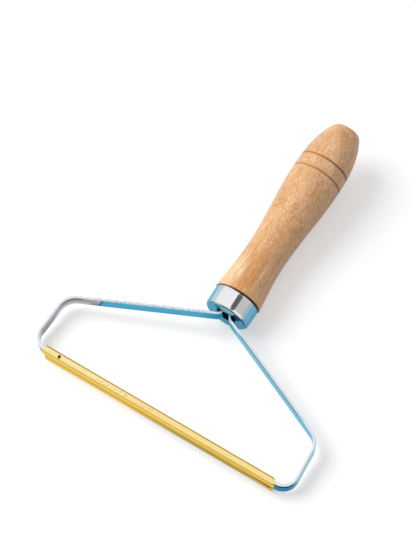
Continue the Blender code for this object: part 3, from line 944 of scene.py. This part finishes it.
def makeBrassHead():
    size = head
    section = headSection()
    (y, z), (nextY, nextZ) = section[:2]
    half = size["length"] / 2
    clearSelection()
    bpy.ops.mesh.primitive_grid_add(x_subdivisions=size["columns"], y_subdivisions=1, size=size["length"],
                                    location=(0, y, 0), rotation=(math.pi / 2, 0, 0))
    piece = startPiece("brassHead")
    # the grid's two rows become the upper lip's first two
    for sign, rowZ in ((-1, z), (1, nextZ)):
        pick(piece, "VERT", lambda p: p.z * sign > 0.01)
        ends = fitRow((-half, half), y, rowZ)
        bpy.ops.transform.translate(value=(0, 0, rowZ - sign * half))
    pick(piece, "EDGE", lambda p: math.isclose(p.z, nextZ, abs_tol=0.000001))
    y, z = nextY, nextZ
    for nextY, nextZ in section[2:]:
        bpy.ops.mesh.extrude_region_move(TRANSFORM_OT_translate={"value": (0, nextY - y, nextZ - z)})
        ends = fitRow(ends, nextY, nextZ)
        y, z = nextY, nextZ
    # the seam gapes towards the right end, where the lower lip has sprung forward
    wedgeFrom = half - size["wedgeLength"]
    lipTop = headHalfHeight - size["foldRadius"]
    lipFoot = size["lowerFoldRoundingHeight"] - headHalfHeight
    columns = size["wedgeColumns"]
    for column in range(1, columns + 1):
        low = wedgeFrom + size["wedgeLength"] * (column - 1) / columns
        high = wedgeFrom + size["wedgeLength"] * column / columns
        opened = (column / columns) ** size["wedgeCurve"]
        for side, farRow in ((1, lipTop), (-1, lipFoot)):
            edge = size["seamAt"] + side * size["seamGap"] / 2
            up = side * size["wedgeShare"][side] * size["wedgeGap"]
            forward = size["wedgeSpring"][side]
            # the rows beside the edge follow it, less and less
            for row in range(size["lipSteps"] - 1, -1, -1):
                rowAt = edge + (farRow - edge) * row / size["lipSteps"]
                pick(piece, "VERT", lambda p: low < p.x <= high and p.y < 0
                     and abs(p.z - rowAt) < size["near"])
                move = opened * (1 - row / size["lipSteps"])
                bpy.ops.transform.translate(value=(0, -forward * move, up * move))
    outsideOut()
    useModifier(piece, "SOLIDIFY", thickness=size["sheet"], offset=-1, use_even_offset=True)
    # the hole that was punched through the upper fold near the left end
    clearSelection()
    holePlace = (*stakeHole["place"], headHalfHeight - size["sheet"])
    punchTurn = Vector(stakeHole["punchedFrom"]).to_track_quat("Z", "Y").to_euler()
    bpy.ops.mesh.primitive_cylinder_add(vertices=32, radius=stakeHole["radius"], depth=4 * size["sheet"],
                                        location=holePlace, rotation=punchTurn)
    cutter = bpy.context.object
    cutOut(piece, cutter, size)
    return piece


def brassFinish():
    look = brassLook
    material, tree, shader, fields = newFinish("rolled brass", 1.0, look)
    feed(tree, shader, {"Specular Tint": (*look["grazing"], 1)})
    fields["front"] = between(tree, fields["y"], -0.0010, -0.0015)
    fields["shadeUp"] = calc(tree, "MULTIPLY_ADD", between(tree, fields["z"], -0.0006, -0.0022), 0.35, 0.35)
    # the dirt in the seam reaches further out along the stronger streaks
    fields["offSeam"] = calc(tree, "ABSOLUTE", calc(tree, "SUBTRACT", fields["z"], head["seamAt"]))
    dirtReach = calc(tree, "MULTIPLY_ADD", fields["streaks"], look["dirtUneven"], look["dirtReach"])
    cleanShare = calc(tree, "DIVIDE", fields["offSeam"], dirtReach)
    fields["seamDirt"] = calc(tree, "SUBTRACT", 1.0, cleanShare, clamp=True)
    fields["atHole"] = besideHole(tree, fields, 0.00074, 0.00066)
    color = paintLayers(tree, fields, look, look["crown"], "crownAndBack")
    upperLip = paintLayers(tree, fields, look, look["crease"], "onUpperLip")
    color = blendColor(tree, fields["front"], color, upperLip)
    lowerLip = paintLayers(tree, fields, look, look["lowerLip"], "onLowerLip")
    lowerShare = overlap(tree, fields, (("z", 0.0007, 0.0003), "front"))
    color = blendColor(tree, lowerShare, color, lowerLip)
    color = paintLayers(tree, fields, look, color, "dirtAndShade")
    closeFinish(tree, shader, fields, look, color)
    return material


print("brass head: folding the sheet")
brassHead = makeBrassHead()
finishPiece(brassHead, "blade_head", brassFinish(), 40)


# Set glue round the tangs: the solid keeps its shape and gets its own finish

glueLook = {
    "clear": (0.62, 0.44, 0.2),
    "cloudy": (0.78, 0.68, 0.47),
    "slotShade": (0.05, 0.035, 0.02),
    "roughness": 0.38,
    "relief": ("cloud", 0.0003, 0.5),
    "noises": {"cloud": ((420, 420, 420), 4, 0.6, 0.4)},
    "layers": (
        ("cloudy", 1, ("cloud", 0.38, 0.66)),
        # painted shade on the glue's front, inside the slot
        ("slotShade", 1, ("y", 0.0667, 0.0660)),
    ),
}


def glueFinish():
    look = glueLook
    material, tree, shader, fields = newFinish("set glue", 0.0, look)
    feed(tree, shader, {"Subsurface Weight": 0.15, "Subsurface Radius": (0.002, 0.0015, 0.001)})
    color = paintLayers(tree, fields, look, look["clear"], "layers")
    closeFinish(tree, shader, fields, look, color)
    return material


gluePlug = frame["nodes"]["glue_plug"]
gluePlug.data.materials.clear()
gluePlug.data.materials.append(glueFinish())
print("set glue has its finish")


# Studio: a pale table that runs out of sight, an even white surround and soft lamps

studio = {
    "tableSize": 12.0,
    "tableColor": (0.62, 0.62, 0.62),
    "tableGlow": 0.42,         # lifts the table to white for the camera and in reflections
    "surround": 0.40,          # the light that the surround gives
    "lamps": (
        # name, place, size, watts
        ("keyLamp", (-0.98, -0.25, 1.14), 1.2, 21.0),
        ("topLamp", (0.1, 0.5, 1.6), 1.2, 3.0),
    ),
}


def seenShare(tree):
    # 1 for camera rays, and for what metal or glass shows
    paths = addNode(tree, "ShaderNodeLightPath", {})
    share = calc(tree, "MAXIMUM", paths.outputs["Is Camera Ray"], paths.outputs["Is Glossy Ray"])
    return calc(tree, "MAXIMUM", share, paths.outputs["Is Transmission Ray"])


def makeTable():
    clearSelection()
    bpy.ops.mesh.primitive_plane_add(size=studio["tableSize"], location=(0, 0, 0))
    table = bpy.context.object
    table.name = "paleTable"
    material = bpy.data.materials.new("pale table")
    material.use_nodes = True
    tree = material.node_tree
    tree.nodes.clear()
    diffuse = addNode(tree, "ShaderNodeBsdfDiffuse", {"Color": (*studio["tableColor"], 1)})
    strength = calc(tree, "MULTIPLY", seenShare(tree), studio["tableGlow"])
    glow = addNode(tree, "ShaderNodeEmission", {"Strength": strength})
    both = addNode(tree, "ShaderNodeAddShader", {0: diffuse.outputs["BSDF"], 1: glow.outputs["Emission"]})
    addNode(tree, "ShaderNodeOutputMaterial", {"Surface": both.outputs["Shader"]})
    table.data.materials.append(material)


def makeSurround():
    world = bpy.data.worlds.new("white surround")
    world.use_nodes = True
    tree = world.node_tree
    strength = calc(tree, "MULTIPLY_ADD", seenShare(tree), 1.0 - studio["surround"], studio["surround"])
    feed(tree, tree.nodes["Background"], {"Color": (1, 1, 1, 1), "Strength": strength})
    bpy.context.scene.world = world


def makeLamps():
    for name, place, size, watts in studio["lamps"]:
        bpy.ops.object.light_add(type="AREA", location=place)
        lamp = bpy.context.object
        lamp.name = name
        lamp.data.shape = "DISK"
        lamp.data.size = size
        lamp.data.energy = watts
        lamp.rotation_euler = (-Vector(place)).to_track_quat("-Z", "Y").to_euler()
        lamp.visible_glossy = False


# Cards that only reflections show, as a photographer hangs them to draw the metal's form

cards = {
    # name: direction from the cap, the way that its length runs, distance, width, length, brightness
    "darkCard": ((0.29, 0.20, 0.936), (0, 1, 0), 0.75, 0.31, 0.58, 0.13),
    "lowDarkCard": ((0.28, -0.50, 0.82), (0, 1, 0), 0.5, 0.13, 0.9, 0.13),
    "greyCard": ((0.80, 0.27, 0.53), (0, 0, 1), 0.85, 0.85, 0.9, 0.61),
}


def makeCards():
    capMiddle = layDown @ Vector((0, cap["front"] + cap["length"] / 2, 0))
    for name, (direction, lengthwise, distance, width, length, brightness) in cards.items():
        away = Vector(direction).normalized()
        across = Vector(lengthwise).cross(away).normalized()
        clearSelection()
        bpy.ops.mesh.primitive_plane_add(size=1, location=capMiddle + away * distance)
        card = bpy.context.object
        card.name = name
        card.scale = (width, length, 1)
        card.rotation_euler = Matrix((across, away.cross(across), away)).transposed().to_euler()
        material = bpy.data.materials.new(name)
        material.use_nodes = True
        tree = material.node_tree
        inputs = {"Base Color": (0, 0, 0, 1), "Specular IOR Level": 0, "Emission Color": (1, 1, 1, 1),
                  "Emission Strength": brightness}
        feed(tree, tree.nodes["Principled BSDF"], inputs)
        card.data.materials.append(material)
        card.visible_camera = False
        card.visible_diffuse = False
        card.visible_shadow = False
        card.visible_transmission = False


# The camera, placed in the tool's own directions

photoView = {
    "place": (0.21135492, -0.26495381, 0.98830277),
    "turn": (22.36222662, 1.0153989, 31.77379375),
    "lens": 146.769,
}


def makeCamera():
    bpy.ops.object.camera_add()
    camera = bpy.context.object
    camera.name = "photoCamera"
    aim = Euler([math.radians(angle) for angle in photoView["turn"]]).to_matrix().to_4x4()
    camera.matrix_world = layDown @ Matrix.Translation(photoView["place"]) @ aim
    camera.data.lens = photoView["lens"]
    camera.data.sensor_width = 36
    camera.data.clip_start = 0.01
    camera.data.clip_end = 30
    bpy.context.scene.camera = camera


print("studio: table, surround, lamps, cards and camera")
clearSelection()
makeTable()
makeSurround()
makeLamps()
makeCards()
makeCamera()
bpy.context.scene.view_settings.view_transform = "Standard"

print("everything is in place")
